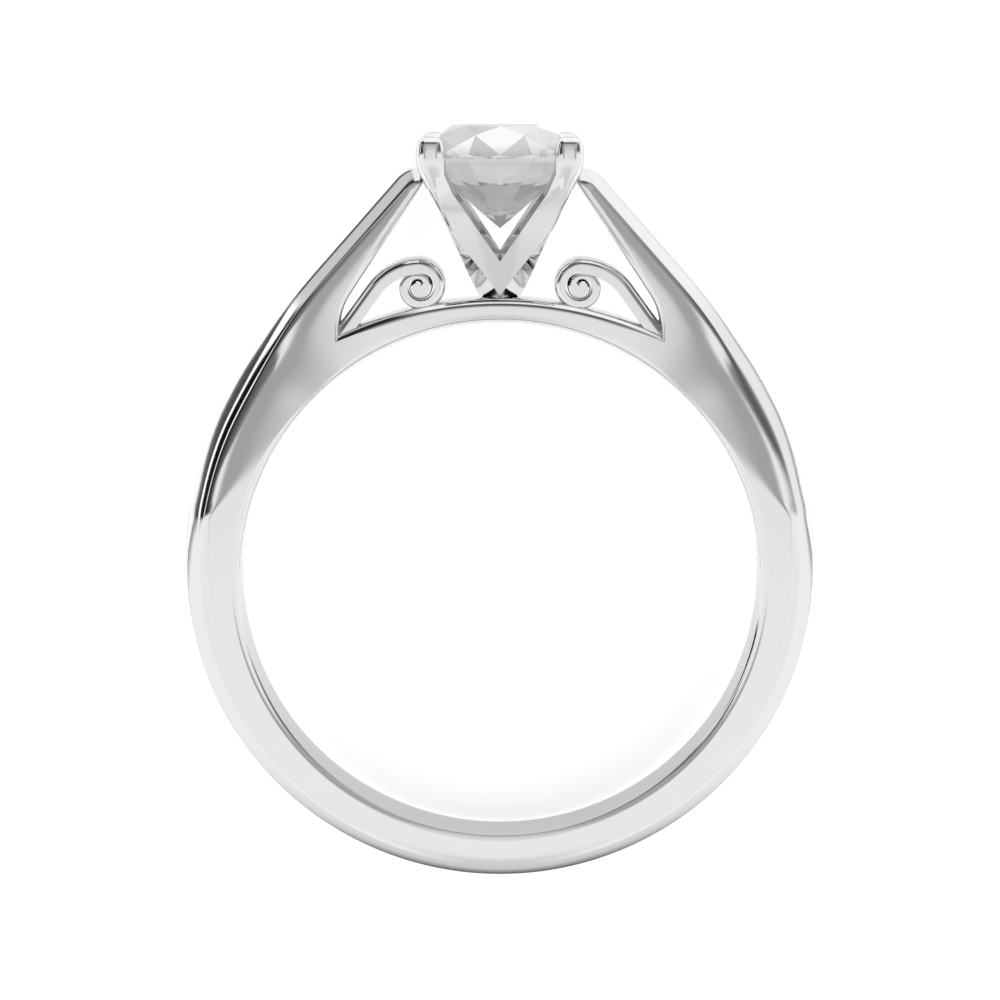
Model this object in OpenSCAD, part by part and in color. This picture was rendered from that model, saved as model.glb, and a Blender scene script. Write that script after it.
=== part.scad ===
// Cathedral ring with a round brilliant stone in a four-claw head, lying on its side as it rests by itself.
// It is drawn upright, with X across the finger hole, Y towards the stone and Z along the finger,
// and then laid down at the angle at which its lower claws and the bottom of its shank touch the floor.

/* [Finger hole and band] */
// Inside diameter of the finger hole
hole_d = 16.5; // [16.4:0.1:16.7]
// Width of the band along the finger
band_w = 1.7; // [1.5:0.1:1.9]
// Thickness of the shank at its bottom, from the hole to the crest of its outer side
shank_t = 1.4; // [1.3:0.05:1.5]
// Height of the bevel between the flat face of the band and its crest
bevel_drop = 0.44; // [0.36:0.04:0.52]
// Radius of the rounded edge of the finger hole
hole_round = 0.31; // [0.25:0.03:0.34]
// Radius of the rounded edge around the opening between the arms
rim_round = 0.3; // [0.24:0.03:0.33]

/* [Cathedral arms] */
// Slope of the lower side of each arm
arm_slope = 56.5; // [55.5:0.5:57.5]
// Half of the width of the opening at its lower corners
opening_half = 5.03; // [4.97:0.03:5.09]
// Length of the straight part of each arm
arm_straight = 3.9; // [3.86:0.02:3.94]

/* [Bridge] */
// Thickness of the bridge under the head
bridge_t = 0.76; // [0.73:0.03:0.79]
// Radius of the arched upper side of the bridge, which is flatter than the finger hole
bridge_arch = 11.8; // [11.2:0.2:12.4]
// Size of the bevel along the upper edges of the bridge
bridge_bevel = 0.2; // [0.14:0.03:0.26]

/* [Scrolls] */
// Distance of the middle of each curl from the middle of the ring
curl_x = 2.5; // [2.47:0.03:2.53]
// Height of the middle of each curl above the middle of the finger hole
curl_y = 9.37; // [9.34:0.01:9.38]
// Radius of the curl where the stem runs into it
curl_r = 0.9; // [0.89:0.01:0.93]
// Width of the stem
stem_w = 0.5; // [0.44:0.03:0.53]
// Depth of the scrolls along the finger
scroll_w = 1.4; // [1.2:0.1:1.4]

/* [Head] */
// Half of the outer width of the head at its claws
head_half = 2.56; // [2.54:0.02:2.6]
// Half of the width of the foot of the head
foot_half = 0.76; // [0.72:0.02:0.8]
// Height of the tips of the claws above the middle of the finger hole
claw_top = 14.08; // [14.04:0.02:14.12]
// Width of each claw
claw_w = 0.9; // [0.86:0.02:0.94]
// Thickness of the walls of the head
wall_t = 0.56; // [0.5:0.03:0.59]

/* [Stone] */
// Diameter of the stone at its girdle
stone_d = 5.1; // [5.06:0.02:5.12]
// Width of the table as a share of the diameter
table_share = 0.58; // [0.54:0.01:0.6]
// Angle of the crown facets
crown_angle = 38; // [36:0.5:39]
// Angle of the pavilion facets
pavilion_angle = 41.2; // [40:0.3:41.5]
// Height of the middle of the girdle above the middle of the finger hole
girdle_y = 13.46; // [13.44:0.01:13.48]
// Thickness of the girdle
girdle_t = 0.14; // [0.13:0.01:0.17]
// Gap between the stone and its seat
seat_gap = 0.03; // [0.03:0.01:0.05]

/* [Hidden] */
round_fn = 96;

hole_r = hole_d / 2;
half_w = band_w / 2;
bridge_mid_y = hole_r + bridge_t - bridge_arch;

// Crest of the band from the bottom up one side: [radius of the curve or 0 for a straight run,
// degrees turned or length of the straight run]
CREST = [
    [9.95, 75],
    [10.8, 42],
    [21, 14.5],
    [0, arm_straight],
    [1, 60]
];

// Half of the outer section of the band: [share of half of the width, share of the bevel's height
// below the crest]
OUTER_SECTION = [
    [1, 1],
    [0.66, 0.3],
    [0.5, 0.12],
    [0.25, 0.03]
];

// Degrees between two points along the crest
crest_turn = 4;
// Upward shift of the rounded hole edges, which makes them wider towards the stone
hole_round_shift = 0.07;
// Share of the hole's rounding that lies inside the hole's own radius
hole_round_lap = 0.08;

// Lower corner of the opening and the curve between it and the arm's straight lower side
opening_corner_y = 7.9;
opening_round = 2.3;
opening_top = 17;
opening_steps = 6;
// Distance from the middle at which each arm ends, inside the wall of the head
arm_end_x = 2.3;

// Height at which the leaning legs end under the upright claws, and the foot of the head
lean_top = 13.17;
foot_y = 9.25;
foot_sunk = 0.45;
// Distance of the head's corner bevels from its axis, at the foot and where they run out
corner_foot = 0.61;
corner_top = 2.86;
corner_top_y = 12;
// Front and back notch: [half width, height]
DEEP_NOTCH = [
    [0, 10.2],
    [1.46, 12.36],
    [1.7, 12.95],
    [1.7, 14.5]
];
// Notch on the sides that the arms meet: [half width, height]
SHALLOW_NOTCH = [
    [0, 13.05],
    [1.3, 13.05],
    [1.7, 13.15],
    [1.7, 14.5]
];

claw_round = 0.26;
claw_low = lean_top - 0.04;
stem_slope = 54;
stem_bend = 2;
stem_len = 2.35;
// Turn in degrees over which the curl shrinks by a factor of e
curl_decay = 800;
curl_gap = 0.08;
// Slot between the turns of the curl: [degrees turned from the top of the curl, radius]
CURL_SLOT = [
    [278, 0.66],
    [310, 0.56],
    [335, 0.48],
    [360, 0.44],
    [450, 0.42],
    [540, 0.4],
    [630, 0.34],
    [720, 0.22],
    [765, 0.14]
];

stone_r = stone_d / 2;
table_r = table_share * stone_r;
table_y = girdle_y + girdle_t / 2 + (stone_r - table_r) * tan(crown_angle);
culet_y = girdle_y - girdle_t / 2 - stone_r * tan(pavilion_angle);

// Angle and height at which the ring lies on its lower claws and the bottom edge of its shank
bottom_crest_y = -(hole_r + shank_t);
rest_tilt = atan((head_half - half_w) / (claw_low - bottom_crest_y - bevel_drop));
rest_lift = half_w * cos(rest_tilt) - (bottom_crest_y + bevel_drop) * sin(rest_tilt);
rest_shift = -(table_y * cos(rest_tilt) + table_r * sin(rest_tilt) + bottom_crest_y * cos(rest_tilt)) / 2;

// State of the crest at the start of row i: [x, y, heading]
function crest_start(i) =
    i == 0 ? [0, bottom_crest_y, 0] : crest_step(crest_start(i - 1), CREST[i - 1]);

function crest_step(s, row) =
    row[0] == 0
        ? [s[0] + row[1] * cos(s[2]), s[1] + row[1] * sin(s[2]), s[2]]
        : let (c = arc_centre(s, row[0]), h = s[2] + row[1])
          [c[0] + row[0] * sin(h), c[1] - row[0] * cos(h), h];

function arc_centre(s, r) = [s[0] - r * sin(s[2]), s[1] + r * cos(s[2])];

function reversed(list) = [for (i = [len(list) - 1 : -1 : 0]) list[i]];

// Crest of one side of the band as [x, y, heading], from the bottom up
function crest_side() = concat(
    [crest_start(0)],
    [for (i = [0 : len(CREST) - 1])
        let (steps = CREST[i][0] == 0 ? 1 : ceil(CREST[i][1] / crest_turn))
        for (k = [1 : steps])
            crest_step(crest_start(i), [CREST[i][0], CREST[i][1] * k / steps])]
);

// Outline of the band at one height along the finger, dropped inwards from its crest
function rail_ring(drop, z) =
    let (side = [for (s = crest_side()) [s[0] - drop * sin(s[2]), s[1] + drop * cos(s[2])]])
    concat([for (p = side) [p[0], p[1], z]], [for (p = reversed(side)) if (p[0] > 0.01) [-p[0], p[1], z]]);

// Solid through closed outlines, one above the other
module layered(rings) {
    n = len(rings[0]);
    last = (len(rings) - 1) * n;
    polyhedron(
        [for (ring = rings) for (p = ring) p],
        concat(
            [[for (i = [0 : n - 1]) i]],
            [for (k = [0 : len(rings) - 2]) for (i = [0 : n - 1])
                [k * n + (i + 1) % n, k * n + i, (k + 1) * n + i, (k + 1) * n + (i + 1) % n]],
            [[for (i = [n - 1 : -1 : 0]) last + i]]
        )
    );
}

module both_sides() {
    children();
    mirror([1, 0, 0]) children();
}

// Shank, shoulders and arms as one closed form, before the hole and the opening are cut
module rail() {
    half = concat([[0, 0]], reversed(OUTER_SECTION));
    levels = concat([for (l = reversed(half)) [-l[0], l[1]]], [for (i = [1 : len(half) - 1]) half[i]]);
    layered([for (l = levels) rail_ring(l[1] * bevel_drop, l[0] * half_w)]);
}

// Right half of the outline between the arms, from the finger hole up, moved outwards by a distance
function opening_side(out) =
    let (
        turn = 90 - arm_slope,
        r = opening_round + out,
        curve = [for (i = [0 : opening_steps]) let (a = turn * i / opening_steps)
            [opening_half - opening_round + r * cos(a), opening_corner_y + r * sin(a)]],
        last = curve[opening_steps],
        end_y = last[1] + (last[0] - arm_end_x) * tan(arm_slope)
    )
    concat([[opening_half + out, 0]], curve, [[arm_end_x, end_y], [arm_end_x, opening_top]]);

function opening_ring(out, z) =
    let (right = opening_side(out))
    concat([for (p = right) [p[0], p[1], z]], [for (p = reversed(right)) [-p[0], p[1], z]]);

// Opening between the arms, cut through from face to face and widened by its rounded rims
module crown_opening() {
    rim = [for (a = [0 : 30 : 90]) [rim_round * (1 - cos(a)), half_w - rim_round * (1 - sin(a))]];
    side = concat(rim, [[rim_round, 1.5 * half_w]]);
    levels = concat([for (l = reversed(side)) [l[0], -l[1]]], side);
    difference() {
        layered([for (l = levels) opening_ring(l[0], l[1])]);
        cylinder(r = hole_r + bridge_t / 2, h = 4 * band_w, center = true, $fn = round_fn);
    }
}

// Depth of the arched bar, which reaches down into the finger hole before the hole is cut
bridge_depth = 1.5;
// Length of the arched bar hidden in each shoulder, beyond the opening
bridge_hidden = 1;

// Arched bar from shoulder to shoulder over the finger, with the head on top of it
module bridge() {
    lower = bridge_arch - bridge_depth;
    knee = 0.3 * bridge_bevel;
    span = 2 * asin((opening_half + bridge_hidden) / bridge_arch);
    translate([0, bridge_mid_y, 0])
        rotate([0, 0, 90 - span / 2])
            rotate_extrude(angle = span, $fn = round_fn)
                polygon([
                    [lower, -half_w],
                    [bridge_arch - bridge_bevel, -half_w],
                    [bridge_arch - knee, knee - half_w],
                    [bridge_arch, bridge_bevel - half_w],
                    [bridge_arch, half_w - bridge_bevel],
                    [bridge_arch - knee, half_w - knee],
                    [bridge_arch - bridge_bevel, half_w],
                    [lower, half_w]
                ]);
}

function curl_radius(turn) = curl_r * exp(-turn / curl_decay);
function curl_point(turn, r) = [curl_x - r * sin(turn), curl_y + r * cos(turn)];

// Outline of the stem, from the top of the curl out and down to the shoulder and back on its lower side
function stem_outline() =
    let (
        top = [curl_x, curl_y + curl_r],
        outer = [for (a = [0 : stem_slope / 8 : stem_slope])
            [top[0] + stem_bend * sin(a), top[1] - stem_bend * (1 - cos(a))]],
        inner = [for (a = [0 : stem_slope / 8 : stem_slope])
            [top[0] + (stem_bend - stem_w) * sin(a), top[1] - stem_w - (stem_bend - stem_w) * (1 - cos(a))]],
        along = stem_len * [cos(stem_slope), -sin(stem_slope)]
    )
    concat(outer, [outer[len(outer) - 1] + along, inner[len(inner) - 1] + along], reversed(inner));

// Slot between the turns of the curl, which starts where the curl meets the underside of the stem
module curl_slot() {
    turns = [for (t = [CURL_SLOT[0][0] : 15 : CURL_SLOT[len(CURL_SLOT) - 1][0]]) t];
    polygon(concat(
        [for (t = turns) curl_point(t, lookup(t, CURL_SLOT) + curl_gap / 2)],
        [for (t = reversed(turns)) curl_point(t, lookup(t, CURL_SLOT) - curl_gap / 2)]
    ));
}

module scroll() {
    linear_extrude(scroll_w, center = true)
        difference() {
            union() {
                polygon(stem_outline());
                polygon([for (t = [0 : 15 : 345]) curl_point(t, curl_radius(t))]);
            }
            curl_slot();
        }
}

// Bar along the finger whose section is a four-sided outline: [half width, height] at its foot and at its top
module leaning_block(foot, top) {
    linear_extrude(4 * head_half, center = true)
        polygon([[-foot[0], foot[1]], [foot[0], foot[1]], [top[0], top[1]], [-top[0], top[1]]]);
}

head_lean = (head_half - foot_half) / (lean_top - foot_y);
corner_lean = (corner_top - corner_foot) / (corner_top_y - foot_y);

// Four-sided funnel whose corners are bevelled more and more towards its foot
module head_funnel() {
    base_y = foot_y - foot_sunk;
    base = [foot_half - foot_sunk * head_lean, base_y];
    corner_base = [corner_foot - foot_sunk * corner_lean, base_y];
    corner_end = [corner_foot + (lean_top - foot_y) * corner_lean, lean_top];
    intersection() {
        leaning_block(base, [head_half, lean_top]);
        rotate([0, 90, 0]) leaning_block(base, [head_half, lean_top]);
        rotate([0, 45, 0]) leaning_block(corner_base, corner_end);
        rotate([0, -45, 0]) leaning_block(corner_base, corner_end);
    }
}

// Hollow of the head, with walls of even thickness
module head_hollow() {
    inset = wall_t * sqrt(1 + head_lean * head_lean);
    top = [head_half - inset, lean_top];
    foot = [foot_half - inset, foot_y];
    over = (opening_top - lean_top) * head_lean;
    intersection() {
        leaning_block(foot, [top[0] + over, opening_top]);
        rotate([0, 90, 0]) leaning_block(foot, [top[0] + over, opening_top]);
    }
}

// Cut through one wall of the head, square to that wall
module wall_notch(notch) {
    lean = atan(head_lean);
    side = [for (p = notch) [p[0], (p[1] - lean_top) / cos(lean)]];
    translate([0, lean_top, head_half])
        rotate([lean, 0, 0])
            linear_extrude(4 * wall_t, center = true)
                polygon(concat(side, [for (p = reversed(side)) if (p[0] > 0) [-p[0], p[1]]]));
}

// Section across a claw, a square with rounded corners
module rounded_plan(w, r) {
    square([w - 2 * r, w], center = true);
    square([w, w - 2 * r], center = true);
    for (x = [r - w / 2, w / 2 - r])
        for (y = [r - w / 2, w / 2 - r])
            translate([x, y]) circle(r = r, $fn = round_fn);
}

// Side of a claw, with both of its upper corners rounded
module rounded_side(w, low, high, r) {
    translate([-w / 2, low]) square([w, high - r - low]);
    translate([r - w / 2, low]) square([w - 2 * r, high - low]);
    for (x = [r - w / 2, w / 2 - r])
        translate([x, high - r]) circle(r = r, $fn = round_fn);
}

// Claw with all its upper edges rounded, wide enough to lean over the crown of the stone
module claw() {
    reach = head_half - claw_w / 2;
    translate([reach, 0, reach])
        intersection() {
            translate([0, claw_top, 0])
                rotate([90, 0, 0])
                    linear_extrude(claw_top - claw_low)
                        rounded_plan(claw_w, claw_round);
            linear_extrude(2 * claw_w, center = true)
                rounded_side(claw_w, claw_low, claw_top, claw_round);
            rotate([0, 90, 0])
                linear_extrude(2 * claw_w, center = true)
                    rounded_side(claw_w, claw_low, claw_top, claw_round);
        }
}

module claw_head() {
    difference() {
        head_funnel();
        head_hollow();
        for (a = [0, 180]) rotate([0, a, 0]) wall_notch(DEEP_NOTCH);
        for (a = [90, 270]) rotate([0, a, 0]) wall_notch(SHALLOW_NOTCH);
    }
    for (a = [0 : 90 : 270])
        rotate([0, a, 0]) claw();
}

// Space that the stone takes, with its gap, as a turned form around the axis of the head
module stone_seat() {
    g = seat_gap;
    upper = girdle_y + girdle_t / 2;
    lower = girdle_y - girdle_t / 2;
    rotate([-90, 0, 0])
        rotate_extrude($fn = round_fn)
            polygon([
                [0, culet_y - g / cos(pavilion_angle)],
                [stone_r + g, lower - g * tan(pavilion_angle / 2)],
                [stone_r + g, upper + g * tan(crown_angle / 2)],
                [mid_crown_r(), mid_crown_y() + g / cos(crown_angle)],
                [table_r, table_y + g / cos(crown_angle)],
                [0, table_y + g / cos(crown_angle)]
            ]);
}

module hole_edge_round() {
    top = half_w;
    outer = hole_r - hole_round_lap + hole_round;
    for (side = [1, -1])
        translate([0, hole_round_shift, 0])
            scale_z(side)
                rotate_extrude($fn = round_fn)
                    difference() {
                        translate([hole_r - 1, top - hole_round])
                            square([outer - hole_r + 1, hole_round + 1]);
                        translate([outer, top - hole_round]) circle(r = hole_round, $fn = round_fn);
                    }
}

module scale_z(side) {
    if (side > 0) children();
    else mirror([0, 0, 1]) children();
}

module ring_metal() {
    color("gainsboro")
        lie_down()
            difference() {
                union() {
                    difference() {
                        rail();
                        crown_opening();
                    }
                    bridge();
                    both_sides() scroll();
                    claw_head();
                }
                cylinder(r = hole_r, h = 3 * band_w, center = true, $fn = round_fn);
                hole_edge_round();
                stone_seat();
            }
}

// Degrees between two facet tips around the stone
facet_turn = 22.5;
// Girdle points from one facet tip to the next, and all the way round
girdle_parts = 4;
girdle_points = 16 * girdle_parts;

// Facet points of the stone, given by their number of facet turns around it, radius and height
function stone_point(step, r, y) = [r * cos(facet_turn * step), y, r * sin(facet_turn * step)];

// The points where the kite facets of the crown and of the pavilion meet, half way between their tips
function mid_crown_r() = (table_r * cos(facet_turn) + stone_r) / 2;
function mid_crown_y() =
    girdle_y + girdle_t / 2 + (stone_r - mid_crown_r() * cos(facet_turn)) * tan(crown_angle);
// Length of the lower halves as a share of the pavilion's radius
lower_half_share = 0.77;
mid_pavilion_r = stone_r * (1 - lower_half_share);
mid_pavilion_y =
    girdle_y - girdle_t / 2 - (stone_r - mid_pavilion_r * cos(facet_turn)) * tan(pavilion_angle);

// Heights of the girdle's edges: the upper and lower halves cut scallops into it
function scallop(mid_r, mid_y, edge_y, i) =
    let (
        across = facet_turn / 2,
        steep = (mid_y - edge_y) / ((stone_r - mid_r) * cos(across)),
        a = facet_turn * (i % girdle_parts) / girdle_parts
    )
    edge_y + steep * stone_r * (cos(across) - cos(a - across));

function girdle_ring(mid_r, mid_y, edge_y) = [for (i = [0 : girdle_points - 1])
    stone_point(i / girdle_parts, stone_r, scallop(mid_r, mid_y, edge_y, i))];

// Point numbers along the girdle under or over one half facet
function half_run(first, s) = [for (j = [0 : girdle_parts]) first + (s * girdle_parts + j) % girdle_points];

module stone() {
    color("white") lie_down() brilliant();
}

// Round brilliant cut: table, 8 stars, 8 kites and 16 upper halves over 16 lower halves and 8 kites
module brilliant() {
    up = girdle_y + girdle_t / 2;
    down = girdle_y - girdle_t / 2;
    points = concat(
        [for (i = [0 : 7]) stone_point(2 * i, table_r, table_y)],
        [for (i = [0 : 7]) stone_point(2 * i + 1, mid_crown_r(), mid_crown_y())],
        [for (i = [0 : 7]) stone_point(2 * i + 1, mid_pavilion_r, mid_pavilion_y)],
        [[0, culet_y, 0]],
        girdle_ring(mid_crown_r(), mid_crown_y(), up),
        girdle_ring(mid_pavilion_r, mid_pavilion_y, down)
    );
    star = 8;
    half = 16;
    culet = 24;
    rim = 25;
    low = rim + girdle_points;
    kite = 2 * girdle_parts;
    faces = concat(
        [[for (i = [0 : 7]) i]],
        [for (i = [0 : 7]) [i, star + i, (i + 1) % 8]],
        [for (i = [0 : 7]) [i, star + (i + 7) % 8, rim + kite * i, star + i]],
        [for (s = [0 : 15]) concat([star + floor(s / 2)], half_run(rim, s))],
        [for (i = [0 : girdle_points - 1])
            [rim + i, low + i, low + (i + 1) % girdle_points, rim + (i + 1) % girdle_points]],
        [for (s = [0 : 15]) concat([half + floor(s / 2)], reversed(half_run(low, s)))],
        [for (i = [0 : 7]) [culet, half + i, low + kite * i, half + (i + 7) % 8]]
    );
    polyhedron(points, faces);
}

// The ring is tipped over onto its back and set down on the floor
module lie_down() {
    translate([0, rest_shift, rest_lift])
        rotate([rest_tilt, 0, 0])
            children();
}

ring_metal();
stone();
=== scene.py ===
import math

import bmesh
import bpy
from mathutils import Matrix, Vector

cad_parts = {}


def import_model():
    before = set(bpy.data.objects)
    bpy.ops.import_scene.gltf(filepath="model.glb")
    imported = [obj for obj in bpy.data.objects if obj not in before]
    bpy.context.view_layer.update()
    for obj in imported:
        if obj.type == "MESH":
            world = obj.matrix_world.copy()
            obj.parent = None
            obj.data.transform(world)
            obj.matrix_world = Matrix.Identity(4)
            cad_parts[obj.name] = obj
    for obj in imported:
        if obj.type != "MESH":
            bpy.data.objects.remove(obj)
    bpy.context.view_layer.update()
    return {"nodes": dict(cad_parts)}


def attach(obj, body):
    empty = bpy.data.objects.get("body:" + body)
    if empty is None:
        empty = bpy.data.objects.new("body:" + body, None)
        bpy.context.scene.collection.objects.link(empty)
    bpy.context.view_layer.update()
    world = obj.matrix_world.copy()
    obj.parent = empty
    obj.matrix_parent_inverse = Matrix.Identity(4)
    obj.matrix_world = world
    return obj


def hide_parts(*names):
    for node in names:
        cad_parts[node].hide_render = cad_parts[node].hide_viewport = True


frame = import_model()

MM = 0.001

# Sizes in millimetres, as in the part's source. The ring is drawn upright, with X across the finger
# hole, Y towards the stone and Z along the finger, and then laid down on the floor.
HOLE_R = 8.25
HALF_W = 0.85
SHANK_T = 1.4
HOLE_ROUND_LAP = 0.08
HOLE_ROUND_SHIFT = 0.07
ARM_SLOPE = 56.5
OPENING_HALF = 5.03
OPENING_CORNER_Y = 7.9
OPENING_ROUND = 2.3
OPENING_TOP = 17.0
ARM_END_X = 2.3
BRIDGE_TOP = HOLE_R + 0.76
BRIDGE_ARCH = 11.8
CURL_X = 2.5
CURL_Y = 9.37
CURL_R = 0.9
CURL_DECAY = 800
CURL_GAP = 0.05
CURL_STEP = 5
CURL_SLOT_FROM = 278
CURL_RIBBON_END = 405
CURL_CORE_END = 765
STEM_W = 0.5
STEM_SLOPE = 54
STEM_BEND = 2.0
STEM_LEN = 2.35
SCROLL_HALF = 0.7
SCROLL_ROUND = 0.03
HEAD_HALF = 2.56
FOOT_HALF = 0.76
FOOT_Y = 9.25
FOOT_SUNK = 0.45
LEAN_TOP = 13.17
CLAW_LOW = 13.13
CLAW_TOP = 14.08
CLAW_W = 0.9
CLAW_ROUND = 0.3
CLAW_STAND_OFF = 0.003
# Rounded tip of each claw: (distance in from its sides, distance down from its top)
CLAW_TIP = [
    (0, 0.62), (0.004, 0.5), (0.013, 0.4), (0.029, 0.3), (0.047, 0.22), (0.062, 0.17), (0.071, 0.15),
    (0.094, 0.12), (0.124, 0.09), (0.174, 0.055), (0.234, 0.028), (0.294, 0.012), (0.37, 0),
]
CORNER_FOOT = 0.61
CORNER_TOP = 2.86
CORNER_TOP_Y = 12.0
WALL_T = 0.56
HEAD_EDGE = 0.06
HEAD_BEND = 0.12
FLAT_TURN = 6
FLAT_TOP = 12.9
FLAT_FADE = 1.4
FUNNEL_LEVELS = [10, 10.7, 11.3, 11.7, 12.1, 12.4, 12.6, 12.8, 12.9, 13.0, 13.1, 13.2, 13.3, 13.45]
CLAW_LEVELS = [12.5, 12.7, 12.85, 13.0, 13.1, 13.2, 13.35]
STONE_R = 2.55
TABLE_R = 0.58 * STONE_R
CROWN_ANGLE = math.radians(38)
PAVILION_ANGLE = math.radians(41.2)
GIRDLE_Y = 13.46
GIRDLE_T = 0.14
SEAT_GAP = 0.03

BOTTOM_Y = -(HOLE_R + SHANK_T)
BEVEL_DROP = 0.44
TABLE_Y = GIRDLE_Y + GIRDLE_T / 2 + (STONE_R - TABLE_R) * math.tan(CROWN_ANGLE)
CULET_Y = GIRDLE_Y - GIRDLE_T / 2 - STONE_R * math.tan(PAVILION_ANGLE)
REST_TILT = math.atan((HEAD_HALF - HALF_W) / (CLAW_LOW - BOTTOM_Y - BEVEL_DROP))
REST_LIFT = HALF_W * math.cos(REST_TILT) - (BOTTOM_Y + BEVEL_DROP) * math.sin(REST_TILT)
REST_SHIFT = -(
    TABLE_Y * math.cos(REST_TILT) + TABLE_R * math.sin(REST_TILT) + BOTTOM_Y * math.cos(REST_TILT)
) / 2
HEAD_LEAN = (HEAD_HALF - FOOT_HALF) / (LEAN_TOP - FOOT_Y)
CORNER_LEAN = (CORNER_TOP - CORNER_FOOT) / (CORNER_TOP_Y - FOOT_Y)
MID_CROWN_R = (TABLE_R * math.cos(math.pi / 8) + STONE_R) / 2
MID_CROWN_Y = (
    GIRDLE_Y + GIRDLE_T / 2 + (STONE_R - MID_CROWN_R * math.cos(math.pi / 8)) * math.tan(CROWN_ANGLE)
)
LAID = Matrix.Translation((0, REST_SHIFT * MM, REST_LIFT * MM)) @ Matrix.Rotation(REST_TILT, 4, "X")

# Crest of the band from the bottom up one side: radius of the curve or None for a straight run,
# degrees turned or length
CREST = [
    (9.95, 75),
    (10.8, 42),
    (21, 14.5),
    (None, 3.9),
    (1.0, 60),
]

# Edges are drawn by the lean of their surface: (distance in from the edge, degrees off the face).
# Rows of the band's edges up to EDGE_END keep their distances, and those beyond it are spread over
# the rest of the face.
EDGE_END = 0.6
ARM_EDGE = [
    (0, 60), (0.02, 48), (0.035, 46), (0.06, 45), (0.09, 43.5), (0.11, 41.5), (0.36, 40.5), (0.38, 27),
    (0.44, 18), (0.6, 8), (0.75, 3.5), (0.9, 1.8), (1.1, 1.2), (1.4, 1), (3, 0.8),
]
SHOULDER_EDGE = [
    (0, 47), (0.03, 45.5), (0.06, 45), (0.14, 44), (0.24, 43), (0.3, 41.5), (0.45, 36), (0.52, 33),
    (0.56, 26), (0.6, 22), (0.72, 13), (0.9, 7), (1.2, 4), (1.6, 3), (3, 2.5),
]
SHANK_EDGE = [
    (0, 87), (0.035, 84), (0.045, 34), (0.11, 33), (0.2, 31), (0.28, 28.5), (0.34, 26.5), (0.41, 22),
    (0.5, 14), (0.6, 6), (0.63, 4), (0.66, 2.5), (0.7, 1.5), (0.75, 1), (3, 0.3),
]
FAR_ROWS = 9
# Least lean of the face beyond its edge: (distance from the bottom along the crest, degrees)
FACE_LEAN = [(0, 0.3), (14.8, 0.3), (18, 3.2), (21.5, 3.2), (24.5, 1.2), (40, 0.8)]
# Which edge the band has along its crest: (distance from the bottom, edge)
EDGES = [
    (0, SHANK_EDGE), (12.5, SHANK_EDGE), (18.5, SHOULDER_EDGE), (21.8, SHOULDER_EDGE), (25.6, ARM_EDGE),
    (40, ARM_EDGE),
]
# How far in from the crest the leaning part of the face goes: (distance from the bottom, reach)
FACE_REACH = [
    (0, 0.85), (16.5, 0.8), (17.6, 0.72), (21.6, 3.0), (23, 4.2), (25, 4.2), (27, 2.6), (28.5, 1.4),
    (29.5, 1.05), (30.2, 0.9),
]
# Edges of the finger hole, of the opening between the arms, of the bridge and of the scrolls
HOLE_EDGE = [
    (0, 86), (0.02, 70), (0.05, 54), (0.09, 44), (0.15, 38), (0.16, 21), (0.2, 18), (0.27, 13), (0.32, 8),
]
RIM_EDGE = [(0, 85), (0.02, 70), (0.05, 45), (0.07, 9), (0.33, 7), (0.35, 2)]
BRIDGE_EDGE = [(0, 86), (0.015, 68), (0.04, 48), (0.1, 38), (0.17, 25), (0.23, 13), (0.26, 2)]
SCROLL_EDGE = [(0, 86), (0.02, 70), (0.05, 52), (0.1, 38), (0.15, 24), (0.2, 12), (0.22, 2)]
# Slot between the turns of a curl: (degrees turned, radius)
SLOT = [
    (278, 0.66), (310, 0.56), (335, 0.48), (360, 0.44), (450, 0.42), (540, 0.4), (630, 0.34), (720, 0.22),
    (765, 0.14),
]
# Rounded ends of a curl's core: (distance in from its side, height up from its end)
CORE_EDGE = [(0.08, 0), (0.03, 0.03), (0.0, 0.09)]
# Notches in the head's walls, from the middle out: (half width, height)
DEEP_NOTCH = [(0, 10.2), (1.46, 12.36), (1.7, 12.95), (1.7, 14.5)]
SHALLOW_NOTCH = [(0, 13.05), (1.3, 13.05), (1.7, 13.15), (1.7, 14.5)]


def eased(rows, top, steps=3):
    """Points (height, distance) of an edge from its rows, reaching the height top at the last."""
    points = [(top, rows[-1][0])]
    height = top
    for (d0, a0), (d1, a1) in reversed(list(zip(rows, rows[1:]))):
        for k in range(steps, 0, -1):
            lean = a0 + (a1 - a0) * (k - 0.5) / steps
            height -= (d1 - d0) / steps * math.tan(math.radians(lean))
            points.append((height, d0 + (d1 - d0) * (k - 1) / steps))
    return points[::-1]


def unit(heading):
    """Direction (x, y) of a heading in degrees."""
    a = math.radians(heading)
    return math.cos(a), math.sin(a)


def crest(step_deg=1.0, step_len=0.1):
    """Crest points (x, y, heading, run) of the right side, from the bottom up."""
    x, y, h, run = 0.0, BOTTOM_Y, 0.0, 0.0
    out = [(x, y, h, run)]
    for radius, amount in CREST:
        if radius is None:
            n = max(1, int(amount / step_len))
            for _ in range(n):
                c, s = unit(h)
                x, y, run = x + c * amount / n, y + s * amount / n, run + amount / n
                out.append((x, y, h, run))
            continue
        n = max(1, int(amount / step_deg))
        c, s = unit(h)
        cx, cy = x - radius * s, y + radius * c
        for _ in range(n):
            h += amount / n
            run += math.radians(amount / n) * radius
            c, s = unit(h)
            x, y = cx + radius * s, cy - radius * c
            out.append((x, y, h, run))
    return out


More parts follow.
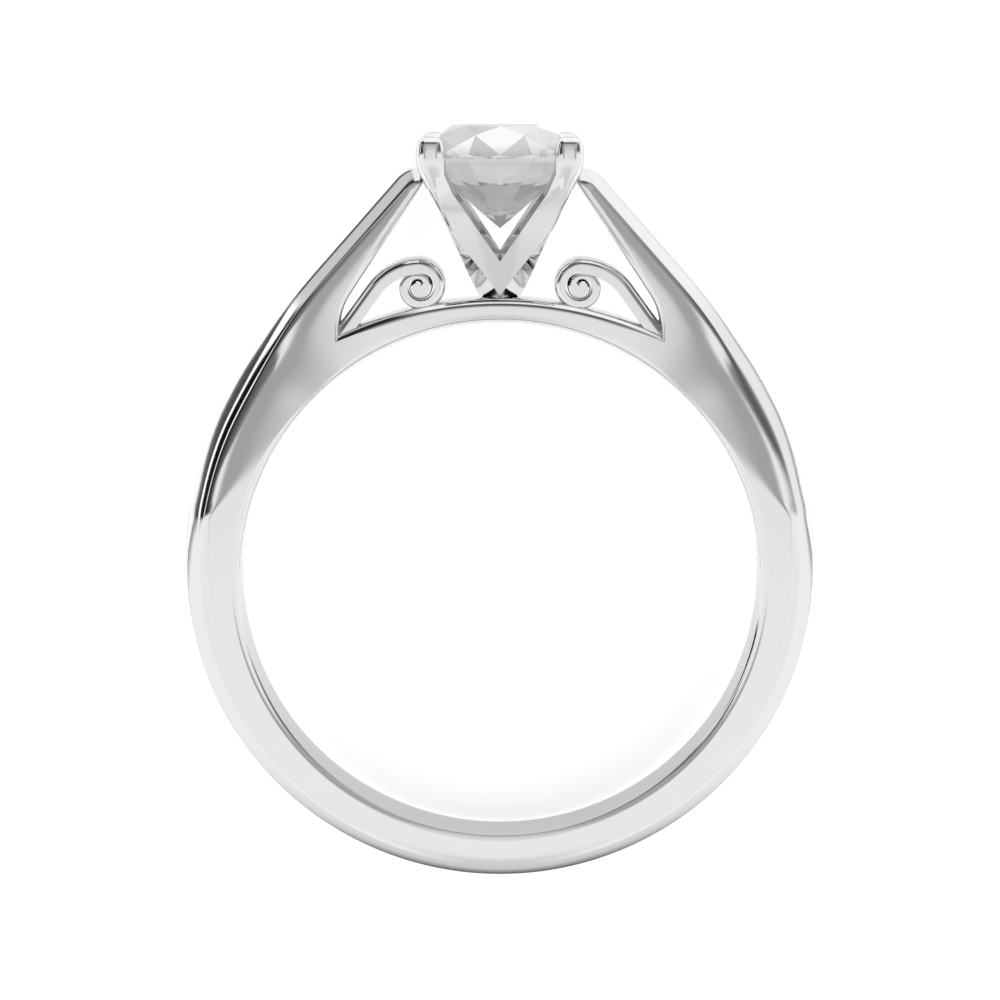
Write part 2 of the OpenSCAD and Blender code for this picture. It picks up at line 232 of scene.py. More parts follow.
def make(name, verts, faces):
    """Mesh object from millimetre points in the upright frame."""
    me = bpy.data.meshes.new(name)
    me.from_pydata([Vector(v) for v in verts], [], faces)
    me.update()
    bm = bmesh.new()
    bm.from_mesh(me)
    bmesh.ops.remove_doubles(bm, verts=bm.verts, dist=1e-5)
    bmesh.ops.recalc_face_normals(bm, faces=bm.faces)
    if bm.calc_volume(signed=True) < 0:
        bmesh.ops.reverse_faces(bm, faces=bm.faces)
    bm.to_mesh(me)
    bm.free()
    ob = bpy.data.objects.new(name, me)
    bpy.context.scene.collection.objects.link(ob)
    return ob


def lofted(name, rings, closed=False):
    """Closed solid through rings of the same number of points."""
    n = len(rings[0])
    verts = [p for ring in rings for p in ring]
    faces = []
    spans = len(rings) if closed else len(rings) - 1
    for k in range(spans):
        a, b = k * n, ((k + 1) % len(rings)) * n
        for i in range(n):
            j = (i + 1) % n
            faces.append((a + i, a + j, b + j, b + i))
    if not closed:
        faces.append(tuple(range(n - 1, -1, -1)))
        faces.append(tuple((len(rings) - 1) * n + i for i in range(n)))
    return make(name, verts, faces)


def combined(base, tools, operation):
    """Boolean of the base with each tool in turn; the tools are used up."""
    for tool in tools:
        mod = base.modifiers.new("cut", "BOOLEAN")
        mod.operation = operation
        mod.solver = "MANIFOLD"
        mod.object = tool
        dg = bpy.context.evaluated_depsgraph_get()
        me = bpy.data.meshes.new_from_object(base.evaluated_get(dg))
        base.modifiers.clear()
        old = base.data
        base.data = me
        bpy.data.meshes.remove(old)
        bpy.data.objects.remove(tool)
    return base


def table_value(rows, x):
    """Value at x between the rows (x, value), held beyond both ends."""
    for (x0, v0), (x1, v1) in zip(rows, rows[1:]):
        if x <= x1:
            return v0 + (v1 - v0) * max(0.0, x - x0) / (x1 - x0)
    return rows[-1][1]


def face_rows(rows, run):
    """Rows of one of the band's edges, carried on over the face as far as it leans there."""
    reach = table_value(FACE_REACH, run)
    least = table_value(FACE_LEAN, run)
    out = [row for row in rows if row[0] <= EDGE_END]
    for k in range(1, FAR_ROWS + 1):
        share = k / FAR_ROWS
        d = EDGE_END + (reach - EDGE_END) * share
        fade = 1 if share < 0.5 else (1 + math.cos(2 * math.pi * (share - 0.5))) / 2
        out.append((d, max(table_value(rows, d), least) * fade))
    return out + [(reach + 0.03, 0), (reach + 0.1, 0)]


def band_section(run):
    """Points (height, distance from the crest) of half of the band's section, from the middle up."""
    for (r0, e0), (r1, e1) in zip(EDGES, EDGES[1:]):
        if run <= r1:
            break
    t = min(1.0, (run - r0) / (r1 - r0))
    t = t * t * (3 - 2 * t)
    both = zip(eased(face_rows(e0, run), HALF_W), eased(face_rows(e1, run), HALF_W))
    points = [(z0 + (z1 - z0) * t, d0 + (d1 - d0) * t) for (z0, d0), (z1, d1) in both]
    return [(0.0, 0.0)] + [(max(z, 0.003 * (k + 1)), d) for k, (z, d) in enumerate(points)]


def band():
    """Shank, shoulders and arms: the outer section swept along the crest, closed across the middle."""
    half = []
    for x, y, heading, run in crest():
        c, s = unit(heading)
        half.append((x, y, s, -c, band_section(run)))
    count = len(half[0][4])
    order = [(-1, i) for i in range(count - 1, 0, -1)] + [(1, i) for i in range(count)]
    rings = []
    for side, i in order:
        right = [(x - nx * pts[i][1], y - ny * pts[i][1], side * pts[i][0]) for x, y, nx, ny, pts in half]
        left = [(-x, y, z) for x, y, z in reversed(right[1:])]
        rings.append(right + left)
    return lofted("band", rings)


def opening_side(out, steps=24):
    """Right side of the opening from the middle up, moved outwards by out."""
    turn = math.radians(90 - ARM_SLOPE)
    r = OPENING_ROUND + out
    pts = [(OPENING_HALF + out, 0.0)]
    for i in range(steps + 1):
        a = turn * i / steps
        pts.append((OPENING_HALF - OPENING_ROUND + r * math.cos(a), OPENING_CORNER_Y + r * math.sin(a)))
    last = pts[-1]
    end_y = last[1] + (last[0] - ARM_END_X) * math.tan(math.radians(ARM_SLOPE))
    return pts + [(ARM_END_X, end_y), (ARM_END_X, OPENING_TOP)]


def revolved(name, section, steps=256, shift_y=0.0):
    """Section (radius, z) turned round the finger hole's axis."""
    rings = []
    for k in range(steps):
        a = 2 * math.pi * k / steps
        rings.append([(r * math.cos(a), r * math.sin(a) + shift_y, z) for r, z in section])
    return lofted(name, rings, closed=True)


def disc(name, r, half_h, steps=256):
    """Upright round bar on the finger hole's axis."""
    turns = [2 * math.pi * k / steps for k in range(steps)]
    return lofted(name, [[(r * math.cos(a), r * math.sin(a), z) for a in turns] for z in (-half_h, half_h)])


def opening():
    """The space between the arms, with rounded rims."""
    rim = [(d, z) for z, d in eased(RIM_EDGE, HALF_W)]
    side = rim + [(rim[-1][0] + 0.02, 1.5 * HALF_W)]
    levels = [(o, -z) for o, z in reversed(side)] + side
    rings = []
    for out, z in levels:
        right = opening_side(out)
        rings.append([(x, y, z) for x, y in right] + [(-x, y, z) for x, y in reversed(right)])
    tool = lofted("opening", rings)
    return combined(tool, [bridge()], "DIFFERENCE")


def arc_points(cx, cy, r, a0, a1, n):
    """Points of an arc round (cx, cy) from a0 to a1 degrees, in n steps."""
    turns = [math.radians(a0 + (a1 - a0) * i / n) for i in range(n + 1)]
    return [(cx + r * math.cos(a), cy + r * math.sin(a)) for a in turns]


def bridge(steps=480):
    """Disc whose rim is the arched bar over the finger, with its upper edges eased."""
    edge = [(BRIDGE_ARCH - d, z) for z, d in eased(BRIDGE_EDGE, HALF_W)]
    levels = [(r, -z) for r, z in reversed(edge)] + edge
    turns = [2 * math.pi * k / steps for k in range(steps)]
    middle = BRIDGE_TOP - BRIDGE_ARCH
    rings = [[(r * math.cos(a), middle + r * math.sin(a), z) for a in turns] for r, z in levels]
    return lofted("bridge", rings)


def curl_point(t, r):
    """Point of the right curl at t degrees turned and a radius."""
    a = math.radians(t)
    return CURL_X - r * math.sin(a), CURL_Y + r * math.cos(a)


def ribbon_ring(outer, inner, edge_share):
    """Section across a ribbon from its inner to its outer side, eased at both."""
    w = math.hypot(outer[0] - inner[0], outer[1] - inner[1])
    ux, uy = (outer[0] - inner[0]) / w, (outer[1] - inner[1]) / w
    edge = [(w - d, z) for z, d in eased([(d * edge_share, a) for d, a in SCROLL_EDGE], SCROLL_HALF)]
    r = SCROLL_ROUND
    pts = arc_points(r, r - SCROLL_HALF, r, 180, 270, 6)
    pts += [(a, -z) for a, z in reversed(edge)] + edge
    pts += arc_points(r, SCROLL_HALF - r, r, 90, 180, 6)
    return [(inner[0] + ux * a, inner[1] + uy * a, z) for a, z in pts]


def stem_sides(bend_steps=24, straight_steps=12):
    """Pairs of points (outer, inner) along the right stem, from its root up to the curl."""
    top_y = CURL_Y + CURL_R
    slope = math.radians(STEM_SLOPE)
    root_dx, root_dy = STEM_LEN * math.cos(slope), -STEM_LEN * math.sin(slope)
    inner_bend = STEM_BEND - STEM_W
    bend = []
    for i in range(bend_steps, -1, -1):
        s, c = math.sin(slope * i / bend_steps), math.cos(slope * i / bend_steps)
        outer = (CURL_X + STEM_BEND * s, top_y - STEM_BEND * (1 - c))
        inner = (CURL_X + inner_bend * s, top_y - STEM_W - inner_bend * (1 - c))
        bend.append((outer, inner))
    straight = []
    for k in range(straight_steps, 0, -1):
        dx, dy = root_dx * k / straight_steps, root_dy * k / straight_steps
        straight.append(tuple((x + dx, y + dy) for x, y in bend[0]))
    return straight + bend


def curl_ring(t):
    """Section of the curl's first turn at t degrees turned."""
    outer = CURL_R * math.exp(-t / CURL_DECAY)
    if t >= CURL_SLOT_FROM:
        outer = min(outer, table_value(SLOT, t) - CURL_GAP / 2)
    inner = table_value(SLOT, t + 360) + CURL_GAP / 2
    if t < 60:
        inner = inner * t / 60 + (CURL_R - STEM_W) * (1 - t / 60)
    share = 1.0 - 0.6 * min(1.0, max(0.0, (t - 60) / 160))
    share = min(share, (outer - inner) * 0.5 / SCROLL_EDGE[-1][0])
    return ribbon_ring(curl_point(t, outer), curl_point(t, inner), share)


def core_ring(inset, z):
    """Outline of the curl's core at a height, moved in towards the curl's middle."""
    ring = []
    for t in range(CURL_RIBBON_END, CURL_CORE_END + 1, CURL_STEP):
        x, y = curl_point(t, table_value(SLOT, t) - CURL_GAP / 2)
        dx, dy = x - CURL_X, y - CURL_Y
        d = math.hypot(dx, dy)
        k = max(0.02, d - inset) / d
        ring.append((CURL_X + dx * k, CURL_Y + dy * k, z))
    return ring


def scroll(mirror):
    """Stem and first turn, then the core of the curl, as two solids that overlap."""
    ribbon = [ribbon_ring(outer, inner, 1.0) for outer, inner in stem_sides()]
    ribbon += [curl_ring(t) for t in range(CURL_STEP, CURL_RIBBON_END + 1, CURL_STEP)]
    core = [core_ring(inset, up - SCROLL_HALF) for inset, up in CORE_EDGE]
    core += [core_ring(inset, SCROLL_HALF - up) for inset, up in reversed(CORE_EDGE)]
    out = []
    for name, rings in (("ribbon", ribbon), ("core", core)):
        out.append(lofted(name, [[(x * mirror, y, z) for x, y, z in ring] for ring in rings]))
    return out


def prism(name, outline, half):
    """Outline (x, y) drawn along Z."""
    return lofted(name, [[(x, y, z) for x, y in outline] for z in (-half, half)])


def turned(ob, degrees):
    """The object turned about the ring's upright axis."""
    ob.data.transform(Matrix.Rotation(math.radians(degrees), 4, "Y"))
    return ob


def leaning(foot, top, turn=0, half=10.0):
    """Space between two walls that lean outwards from foot to top, each (half width, height)."""
    outline = [(-foot[0], foot[1]), (foot[0], foot[1]), (top[0], top[1]), (-top[0], top[1])]
    return turned(prism("lean", outline, half), turn)


def notch(rows, turn):
    """Space of a notch, standing in the plane of the leaning wall."""
    lean = math.atan(HEAD_LEAN)
    side = [(x, (y - LEAN_TOP) / math.cos(lean)) for x, y in rows]
    outline = side + [(-x, y) for x, y in reversed(side) if x > 0]
    ob = prism("notch", outline, 2 * WALL_T)
    ob.data.transform(Matrix.Rotation(lean, 4, "X"))
    ob.data.transform(Matrix.Translation((0, LEAN_TOP, HEAD_HALF)))
    return turned(ob, turn)


def head_half(y):
    """Half width of the head at a height: leaning outwards, then bending upright."""
    bend = HEAD_BEND * math.log1p(math.exp((LEAN_TOP - y) / HEAD_BEND))
    return HEAD_HALF - CLAW_STAND_OFF - HEAD_LEAN * bend


def funnel_ring(y):
    """Rounded square of the head at a height, its sides broken into three flats low down."""
    half = head_half(y)
    low = min(1.0, max(0.0, (FLAT_TOP - y) / FLAT_FADE))
    corner = CLAW_ROUND * (0.35 + 0.65 * (1 - low))
    slope = math.tan(math.radians(FLAT_TURN)) * low
    side = []
    for share in (-1, -0.45, -0.35, 0, 0.35, 0.45, 1):
        x = share * (half - corner)
        side.append((x, half - slope * max(0.0, abs(x) - 0.4 * half)))
    end = side[-1]
    side += arc_points(end[0] - 0.02, end[1] - corner, corner, 90, 0, 6)[1:-1]
    ring = []
    for c, s in ((1, 0), (0, 1), (-1, 0), (0, -1)):
        ring += [(a * c + b * s, y, b * c - a * s) for a, b in side]
    return ring


def claw(turn):
    """Upright bar with rounded corners and a rounded tip."""
    rings = []
    levels = [(0, y) for y in CLAW_LEVELS]
    levels += [(inset, CLAW_TOP - drop) for inset, drop in CLAW_TIP]
    for inset, y in levels:
        outer = head_half(y) + CLAW_STAND_OFF
        w = (outer - (HEAD_HALF - CLAW_W)) / 2
        h = w - inset
        corner = max(min(CLAW_ROUND, w - 0.02) - inset, 0.004)
        ring = []
        for sx, sz, a0 in ((1, 1, 0), (-1, 1, 90), (-1, -1, 180), (1, -1, 270)):
            ring += arc_points(sx * (h - corner), sz * (h - corner), corner, a0, a0 + 90, 8)
        rings.append([(x + outer - w, y, z + outer - w) for x, z in ring])
    return turned(lofted("claw", rings), turn)


def soften(ob, width):
    """Round the sharp edges of a solid of flat faces."""
    bm = bmesh.new()
    bm.from_mesh(ob.data)
    bmesh.ops.remove_doubles(bm, verts=bm.verts, dist=1e-4)
    bmesh.ops.dissolve_limit(bm, angle_limit=math.radians(1), verts=bm.verts, edges=bm.edges)
    edges = [e for e in bm.edges if len(e.link_faces) == 2 and e.calc_face_angle(0) > math.radians(20)]
    bmesh.ops.bevel(bm, geom=edges, offset=width, segments=3, profile=0.5, affect="EDGES", clamp_overlap=True)
    bm.to_mesh(ob.data)
    bm.free()
    return ob


def head():
    """Funnel of four leaning walls with their notches, and the four claws."""
    base_y = FOOT_Y - FOOT_SUNK
    corner = (CORNER_FOOT - FOOT_SUNK * CORNER_LEAN, base_y)
    corner_end = (CORNER_FOOT + (CLAW_TOP - FOOT_Y) * CORNER_LEAN, CLAW_TOP)
    funnel = combined(
        lofted("funnel", [funnel_ring(y) for y in [base_y, FOOT_Y] + FUNNEL_LEVELS]),
        [leaning(corner, corner_end, 45), leaning(corner, corner_end, -45)],
        "INTERSECT",
    )
    inset = WALL_T * math.sqrt(1 + HEAD_LEAN**2)
    over = (OPENING_TOP - LEAN_TOP) * HEAD_LEAN
    foot_in = (FOOT_HALF - inset, FOOT_Y)
    top_in = (HEAD_HALF - inset + over, OPENING_TOP)
    hollow = combined(leaning(foot_in, top_in), [leaning(foot_in, top_in, 90)], "INTERSECT")
    deep = [notch(DEEP_NOTCH, turn) for turn in (0, 180)]
    shallow = [notch(SHALLOW_NOTCH, turn) for turn in (90, 270)]
    combined(funnel, [hollow] + deep + shallow, "DIFFERENCE")
    soften(funnel, HEAD_EDGE)
    return combined(funnel, [claw(a) for a in (0, 90, 180, 270)], "UNION")


def seat():
    """Space of the stone with its gap."""
    g = SEAT_GAP
    up, down = GIRDLE_Y + GIRDLE_T / 2, GIRDLE_Y - GIRDLE_T / 2
    section = [
        (0.0, CULET_Y - g / math.cos(PAVILION_ANGLE)),
        (STONE_R + g, down - g * math.tan(PAVILION_ANGLE / 2)),
        (STONE_R + g, up + g * math.tan(CROWN_ANGLE / 2)),
        (MID_CROWN_R, MID_CROWN_Y + g / math.cos(CROWN_ANGLE)),
        (TABLE_R, TABLE_Y + g / math.cos(CROWN_ANGLE)),
        (0.0, TABLE_Y + g / math.cos(CROWN_ANGLE)),
    ]
    steps = 128
    turns = [2 * math.pi * i / steps for i in range(steps)]
    verts = [(0, section[0][1], 0)]
    for r, y in section[1:-1]:
        verts += [(r * math.cos(a), y, r * math.sin(a)) for a in turns]
    verts.append((0, section[-1][1], 0))
    faces = []
    last = len(verts) - 1
    rows = len(section) - 2
    for i in range(steps):
        j = (i + 1) % steps
        faces.append((0, 1 + i, 1 + j))
        for k in range(rows - 1):
            a, b = 1 + k * steps, 1 + (k + 1) * steps
            faces.append((a + i, b + i, b + j, a + j))
        a = 1 + (rows - 1) * steps
        faces.append((a + i, last, a + j))
    return make("seat", verts, faces)


def hole_cutter():
    """The finger hole with both of its edges rounded: (radius, z) from the axis out."""
    tools = [disc("hole", HOLE_R, 3)]
    edge = [(HOLE_R - HOLE_ROUND_LAP + d, z) for z, d in eased(HOLE_EDGE, HALF_W)]
    low, outer = edge[0][1], edge[-1][0]
    for side in (1, -1):
        arc = [(r, side * z) for r, z in edge]
        far = side * (HALF_W + 1)
        section = [(HOLE_R - 1, side * low)] + arc + [(outer, far), (HOLE_R - 1, far)]
        tools.append(revolved("edge", section, shift_y=HOLE_ROUND_SHIFT))
    return tools


def smooth_edge(edge):
    """Whether the surface runs on smoothly over an edge; a flat face ends sharply at its rims."""
    if len(edge.link_faces) != 2:
        return False
    angle = math.degrees(edge.calc_face_angle(math.pi))
    leans = [math.degrees(math.acos(min(1.0, abs(f.normal.z)))) for f in edge.link_faces]
    return angle < (4 if min(leans) < 5 and max(leans) > 6.5 else 28)


def metal():
    """The whole ring but its stone, in one body, with its shading, laid down on the floor."""
    body = band()
    combined(body, [opening()], "DIFFERENCE")
    combined(body, [head()] + scroll(1) + scroll(-1), "UNION")
    combined(body, hole_cutter() + [seat()], "DIFFERENCE")
    body.name = "ring_metal_smooth"
    bm = bmesh.new()
    bm.from_mesh(body.data)
    bmesh.ops.remove_doubles(bm, verts=bm.verts, dist=2e-4)
    bmesh.ops.dissolve_degenerate(bm, edges=bm.edges, dist=2e-4)
    for f in bm.faces:
        f.smooth = True
    for e in bm.edges:
        e.smooth = smooth_edge(e)
    bm.to_mesh(body.data)
    bm.free()
    body.data.transform(Matrix.Scale(MM, 4))
    body.data.transform(LAID)
    weighted = body.modifiers.new("weighted", "WEIGHTED_NORMAL")
    weighted.mode = "FACE_AREA"
    weighted.weight = 60
    weighted.keep_sharp = True
    dg = bpy.context.evaluated_depsgraph_get()
    me = bpy.data.meshes.new_from_object(body.evaluated_get(dg))
    body.modifiers.clear()
    body.data = me
    me.name = "ring_metal_smooth"
    return body


metal_ob = metal()
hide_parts("ring_metal")
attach(metal_ob, "root")


def shader(name):
    """New material with nothing but its output."""
    mat = bpy.data.materials.new(name)
    mat.use_nodes = True
    nodes, links = mat.node_tree.nodes, mat.node_tree.links
    nodes.clear()
    out = nodes.new("ShaderNodeOutputMaterial")
    return mat, nodes, links, out


def white_metal():
    """Polished white metal, with painted shade: its colour darkens where it is seen at a slant."""
    mat, nodes, links, out = shader("white_metal_polished")
    bsdf = nodes.new("ShaderNodeBsdfPrincipled")
    bsdf.inputs["Metallic"].default_value = 1.0
    bsdf.inputs["Specular Tint"].default_value = (1, 1, 1, 1)
    noise = nodes.new("ShaderNodeTexNoise")
    noise.inputs["Scale"].default_value = 900
    noise.inputs["Detail"].default_value = 3
    coord = nodes.new("ShaderNodeTexCoord")
    links.new(coord.outputs["Object"], noise.inputs["Vector"])
    rough = nodes.new("ShaderNodeMapRange")
    rough.inputs["To Min"].default_value = 0.05
    rough.inputs["To Max"].default_value = 0.09
    links.new(noise.outputs["Fac"], rough.inputs["Value"])
    links.new(rough.outputs["Result"], bsdf.inputs["Roughness"])
    tone = nodes.new("ShaderNodeMixRGB")
    tone.inputs["Color1"].default_value = (0.9, 0.9, 0.905, 1)
    tone.inputs["Color2"].default_value = (0.93, 0.93, 0.93, 1)
    links.new(noise.outputs["Fac"], tone.inputs["Fac"])
    # Painted shade: the metal's colour is darkened where it is seen at a slant, which darkens its rims and
    # the wall of the finger hole.
    facing = nodes.new("ShaderNodeLayerWeight")
    facing.inputs["Blend"].default_value = 0.5
    shade = nodes.new("ShaderNodeValToRGB")
    stops = shade.color_ramp.elements
    stops[0].position = 0.0
    stops[0].color = (1, 1, 1, 1)
    stops[1].position = 1.0
    stops[1].color = (0.4, 0.4, 0.41, 1)
    for position, value in ((0.4, 1.0), (0.55, 0.85), (0.78, 0.5)):
        stop = stops.new(position)
        stop.color = (value, value, value, 1)
    links.new(facing.outputs["Facing"], shade.inputs["Fac"])
    dimmed = nodes.new("ShaderNodeMixRGB")
    dimmed.blend_type = "MULTIPLY"
    dimmed.inputs["Fac"].default_value = 1.0
    links.new(tone.outputs["Color"], dimmed.inputs["Color1"])
    links.new(shade.outputs["Color"], dimmed.inputs["Color2"])
    links.new(dimmed.outputs["Color"], bsdf.inputs["Base Color"])
    links.new(bsdf.outputs["BSDF"], out.inputs["Surface"])
    return mat


def clear_stone():
    """Clear stone, greyed below its girdle as painted shade; above it each facet also glows by the way it
    faces, as painted glints.
    """
    mat, nodes, links, out = shader("clear_stone_cut")
    glass = nodes.new("ShaderNodeBsdfGlass")
    glass.inputs["IOR"].default_value = 2.4
    glass.inputs["Roughness"].default_value = 0.0
    noise = nodes.new("ShaderNodeTexNoise")
    noise.inputs["Scale"].default_value = 400
    coord = nodes.new("ShaderNodeTexCoord")
    links.new(coord.outputs["Object"], noise.inputs["Vector"])
    tone = nodes.new("ShaderNodeMixRGB")
    tone.inputs["Color1"].default_value = (0.985, 0.99, 1.0, 1)
    tone.inputs["Color2"].default_value = (1.0, 1.0, 1.0, 1)
    links.new(noise.outputs["Fac"], tone.inputs["Fac"])
    # Painted shade: the glass is greyed below the girdle, so that the pavilion looks darker.
    pavilion_painted_shade = nodes.new("ShaderNodeMixRGB")
    pavilion_painted_shade.inputs["Color1"].default_value = (0.57, 0.57, 0.575, 1)
    links.new(tone.outputs["Color"], pavilion_painted_shade.inputs["Color2"])
    links.new(pavilion_painted_shade.outputs["Color"], glass.inputs["Color"])
    # Painted glints: each facet glows with its own brightness, chosen by the way it faces.
    facet = nodes.new("ShaderNodeNewGeometry")
    mosaic = nodes.new("ShaderNodeTexNoise")
    mosaic.inputs["Scale"].default_value = 7
    mosaic.inputs["Detail"].default_value = 0
    links.new(facet.outputs["True Normal"], mosaic.inputs["Vector"])
    sparkle = nodes.new("ShaderNodeMapRange")
    sparkle.inputs["From Min"].default_value = 0.35
    sparkle.inputs["From Max"].default_value = 0.6
    sparkle.inputs["To Min"].default_value = 0.6
    sparkle.inputs["To Max"].default_value = 1.25
    links.new(mosaic.outputs["Fac"], sparkle.inputs["Value"])
    painted_glint_glow = nodes.new("ShaderNodeEmission")
    links.new(sparkle.outputs["Result"], painted_glint_glow.inputs["Color"])
    painted_glint_glow.inputs["Strength"].default_value = 1.0
    blend = nodes.new("ShaderNodeMixShader")
    split = nodes.new("ShaderNodeSeparateXYZ")
    links.new(coord.outputs["Object"], split.inputs["Vector"])
    height = nodes.new("ShaderNodeMapRange")
    height.inputs["From Min"].default_value = (GIRDLE_Y - 0.4 + REST_SHIFT) * MM
    height.inputs["From Max"].default_value = (GIRDLE_Y + 0.2 + REST_SHIFT) * MM
    links.new(split.outputs["Y"], height.inputs["Value"])
    links.new(height.outputs["Result"], pavilion_painted_shade.inputs["Fac"])
    # Share of the painted glint glow: small below the girdle, large above it.
    glint = nodes.new("ShaderNodeMapRange")
    glint.inputs["To Min"].default_value = 0.02
    glint.inputs["To Max"].default_value = 0.68
    links.new(height.outputs["Result"], glint.inputs["Value"])
    links.new(glint.outputs["Result"], blend.inputs["Fac"])
    links.new(glass.outputs["BSDF"], blend.inputs[1])
    links.new(painted_glint_glow.outputs["Emission"], blend.inputs[2])
    links.new(blend.outputs["Shader"], out.inputs["Surface"])
    return mat


metal_ob.data.materials.clear()
metal_ob.data.materials.append(white_metal())
stone_ob = frame["nodes"]["stone"]
for s in stone_ob.material_slots:
    s.material = clear_stone()


def floor_material():
    """Pale floor that glows a little, so that it stays bright beside the ring."""
    mat, nodes, links, out = shader("pale_floor")
    bsdf = nodes.new("ShaderNodeBsdfPrincipled")
    bsdf.inputs["Roughness"].default_value = 0.6
    noise = nodes.new("ShaderNodeTexNoise")
    noise.inputs["Scale"].default_value = 30
    tone = nodes.new("ShaderNodeMixRGB")
    tone.inputs["Color1"].default_value = (0.93, 0.93, 0.93, 1)
    tone.inputs["Color2"].default_value = (0.95, 0.95, 0.95, 1)
    links.new(noise.outputs["Fac"], tone.inputs["Fac"])
    links.new(tone.outputs["Color"], bsdf.inputs["Base Color"])
    bsdf.inputs["Emission Color"].default_value = (1, 1, 1, 1)
    bsdf.inputs["Emission Strength"].default_value = 0.55
    links.new(bsdf.outputs["BSDF"], out.inputs["Surface"])
    return mat


def plane(name, size, z):
    """Square sheet round the origin at a height, in metres."""
    me = bpy.data.meshes.new(name)
    h = size / 2
    me.from_pydata([(-h, -h, z), (h, -h, z), (h, h, z), (-h, h, z)], [], [(0, 1, 2, 3)])
    ob = bpy.data.objects.new(name, me)
    bpy.context.scene.collection.objects.link(ob)
    return ob


floor = plane("floor", 2.0, 0.0)
floor.data.materials.append(floor_material())

# Camera: at a point in the ring's upright frame, looking along the finger, as in the photo
EYE_Y = 16.91
EYE_Z = 85.0
FOCAL_PX = 2712.7
AIM_Y = 4.137
SHIFT_Y = -0.05

cam = bpy.data.cameras.new("camera")
cam.sensor_width = 36.0
cam_ob = bpy.data.objects.new("camera", cam)
bpy.context.scene.collection.objects.link(cam_ob)
bpy.context.scene.camera = cam_ob
eye = LAID @ Vector((0, EYE_Y * MM, EYE_Z * MM))
aim = LAID @ Vector((0, AIM_Y * MM, 0))
up_dir = (LAID.to_3x3() @ Vector((0, 1, 0))).normalized()
back = (eye - aim).normalized()
right = up_dir.cross(back).normalized()
up = back.cross(right).normalized()
rot = Matrix((right, up, back)).transposed()
cam_ob.matrix_world = Matrix.Translation(eye) @ rot.to_4x4()
cam.lens = 36.0 * FOCAL_PX / 1000
cam.shift_y = SHIFT_Y
cam.clip_start = 0.001
cam.clip_end = 10

# Brightness of the studio around the ring: (elevation in degrees, brightness)
AROUND = [(0, 0.06), (1.5, 0.5), (5, 0.92), (38, 0.92), (50, 0.86), (70, 0.88), (80, 0.8), (90, 0.75)]
SIDES = [
    (0, 0.06), (2, 0.87), (14, 0.87), (19, 0.25), (28, 0.12), (52, 0.12), (66, 0.4), (78, 0.62), (86, 0.72),
    (90, 0.76),
]
TOP = [(0, 0.06), (2, 0.95), (35, 0.95), (41, 0.1), (60, 0.12), (68, 0.45), (80, 0.68), (90, 0.76)]
UPPER_LEFT = [
    (0, 0.1), (5, 0.06), (7.5, 0.62), (14, 0.62), (16.5, 0.02), (44, 0.02), (54, 0.12), (66, 0.4), (78, 0.6),
    (90, 0.76),
]
LEFT = [
    (0, 0.2), (2, 0.08), (5, 0.05), (6.5, 0.04), (7, 1.3), (10, 1.3), (11, 0.004), (22, 0.004), (23, 1.3),
    (27, 1.3), (28, 0.01), (45, 0.04), (60, 0.16), (72, 0.4), (80, 0.62), (90, 0.76),
]
LOW = [
    (0, 0.02), (6, 0.4), (12, 0.64), (22, 0.7), (32, 0.92), (38, 0.92), (50, 0.86), (70, 0.88), (80, 0.8),
    (90, 0.75),
]
BELOW = [(0, 0.02), (6, 0.4), (12, 0.64), (50, 0.68), (68, 0.88), (78, 0.82), (90, 0.75)]
RIGHT_ARM = [
    (0, 0.06), (2, 0.97), (14, 0.97), (19, 0.5), (28, 0.34), (52, 0.36), (66, 0.52), (78, 0.66), (86, 0.73),
    (90, 0.76),
]
# Tables laid over the first, in turn: (brightness, middle, half width and soft edge in degrees round)
LAYERS = [
    (LOW, -90, 30, 40),
    (RIGHT_ARM, 46, 28, 16),
    (SIDES, 15, 12, 14),
    (TOP, 90, 32, 16),
    (UPPER_LEFT, 130, 22, 8),
    (LEFT, 168, 15, 6),
    (BELOW, -90, 9, 14),
]
# Brightness of the grey sheets overhead, either side of the middle, and where each begins: (none, full)
FLAG = 0.38
FLAG_X = (0.08, 0.2)
FLAG_Y = (-0.27, -0.2)
FLAG_Z = (0.9, 0.95)
# The most that any table holds
PEAK = 1.3


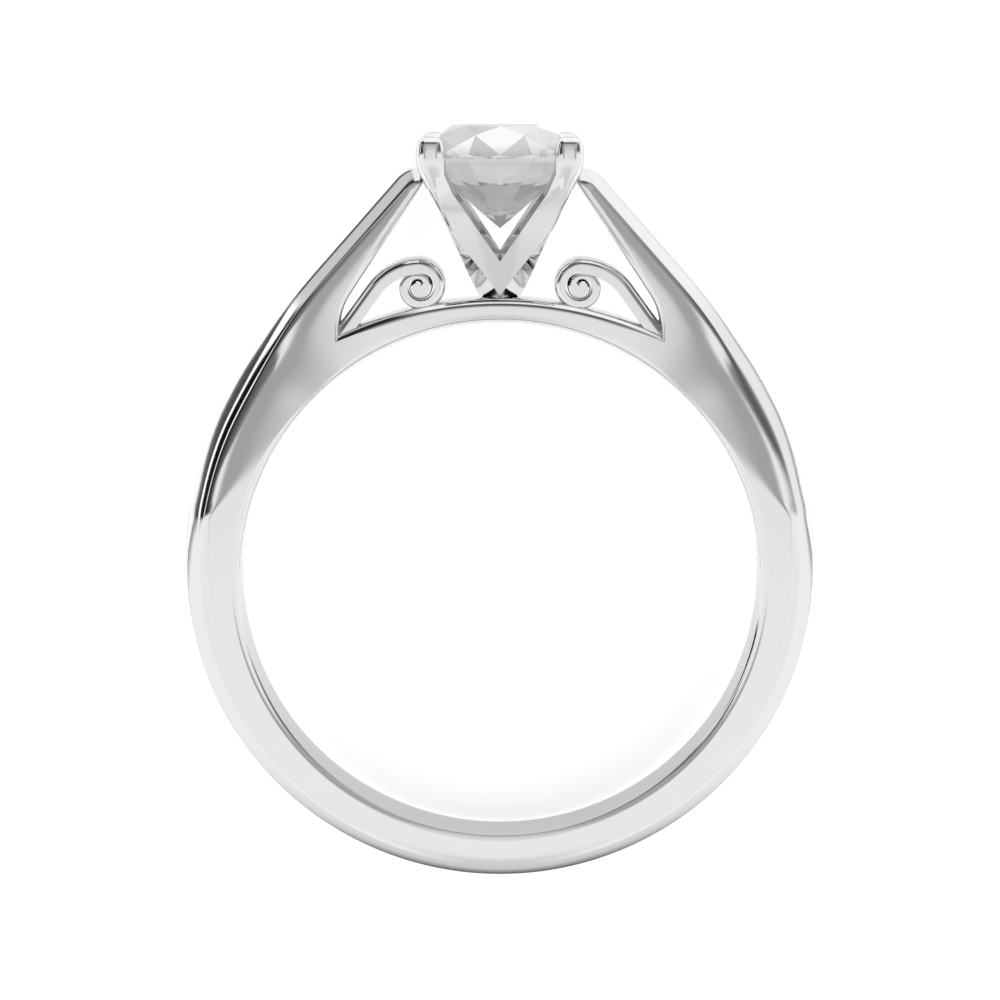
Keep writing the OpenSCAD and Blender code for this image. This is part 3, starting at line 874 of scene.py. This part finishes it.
def world():
    """Studio light that comes from the sky alone, by the direction it comes from."""
    w = bpy.data.worlds.new("studio")
    bpy.context.scene.world = w
    w.use_nodes = True
    nodes, links = w.node_tree.nodes, w.node_tree.links
    nodes.clear()

    def math_node(operation, *values):
        node = nodes.new("ShaderNodeMath")
        node.operation = operation
        for socket, value in zip(node.inputs, values):
            if isinstance(value, (int, float)):
                socket.default_value = value
            else:
                links.new(value, socket)
        return node.outputs[0]

    def ramp(rows, fac):
        """Brightness of a table, as a share of the peak."""
        node = nodes.new("ShaderNodeValToRGB")
        stops = node.color_ramp.elements
        while len(stops) > 1:
            stops.remove(stops[-1])
        for k, (elevation, value) in enumerate(rows):
            stop = stops[0] if k == 0 else stops.new(elevation / 90)
            stop.position = elevation / 90
            stop.color = (value / PEAK, value / PEAK, value / PEAK, 1)
        links.new(fac, node.inputs["Fac"])
        return node.outputs["Color"]

    def quarter(angle, centre, half, soft):
        """1 within half a width of the centre, fading to 0 over the soft edge, in degrees."""
        off = math_node("SUBTRACT", angle, math.radians(centre))
        off = math_node("ABSOLUTE", math_node("WRAP", off, math.pi, -math.pi))
        node = nodes.new("ShaderNodeMapRange")
        node.interpolation_type = "SMOOTHSTEP"
        node.inputs["From Min"].default_value = math.radians(half - soft / 2)
        node.inputs["From Max"].default_value = math.radians(half + soft / 2)
        node.inputs["To Min"].default_value = 1
        node.inputs["To Max"].default_value = 0
        links.new(off, node.inputs["Value"])
        return node.outputs["Result"]

    def smooth(value, low, high):
        node = nodes.new("ShaderNodeMapRange")
        node.interpolation_type = "SMOOTHSTEP"
        node.inputs["From Min"].default_value = low
        node.inputs["From Max"].default_value = high
        links.new(value, node.inputs["Value"])
        return node.outputs["Result"]

    def over(base, top, mask):
        node = nodes.new("ShaderNodeMixRGB")
        links.new(mask, node.inputs["Fac"])
        links.new(base, node.inputs["Color1"])
        links.new(top, node.inputs["Color2"])
        return node.outputs["Color"]

    coord = nodes.new("ShaderNodeTexCoord")
    split = nodes.new("ShaderNodeSeparateXYZ")
    links.new(coord.outputs["Generated"], split.inputs["Vector"])
    x, y, z = split.outputs
    fac = math_node("DIVIDE", math_node("ARCSINE", z), math.pi / 2)
    azimuth = math_node("ARCTAN2", y, x)
    colour = ramp(AROUND, fac)
    for rows, centre, half, soft in LAYERS:
        colour = over(colour, ramp(rows, fac), quarter(azimuth, centre, half, soft))
    flag = smooth(math_node("ABSOLUTE", x), *FLAG_X)
    flag = math_node("MULTIPLY", flag, smooth(y, *FLAG_Y))
    flag = math_node("MULTIPLY", flag, smooth(z, *FLAG_Z))
    grey = nodes.new("ShaderNodeRGB")
    grey.outputs[0].default_value = (FLAG / PEAK, FLAG / PEAK, FLAG / PEAK, 1)
    colour = over(colour, grey.outputs[0], flag)
    bg = nodes.new("ShaderNodeBackground")
    bg.inputs["Strength"].default_value = PEAK
    links.new(colour, bg.inputs["Color"])
    out = nodes.new("ShaderNodeOutputWorld")
    links.new(bg.outputs["Background"], out.inputs["Surface"])


world()

bpy.context.scene.view_settings.view_transform = "Standard"
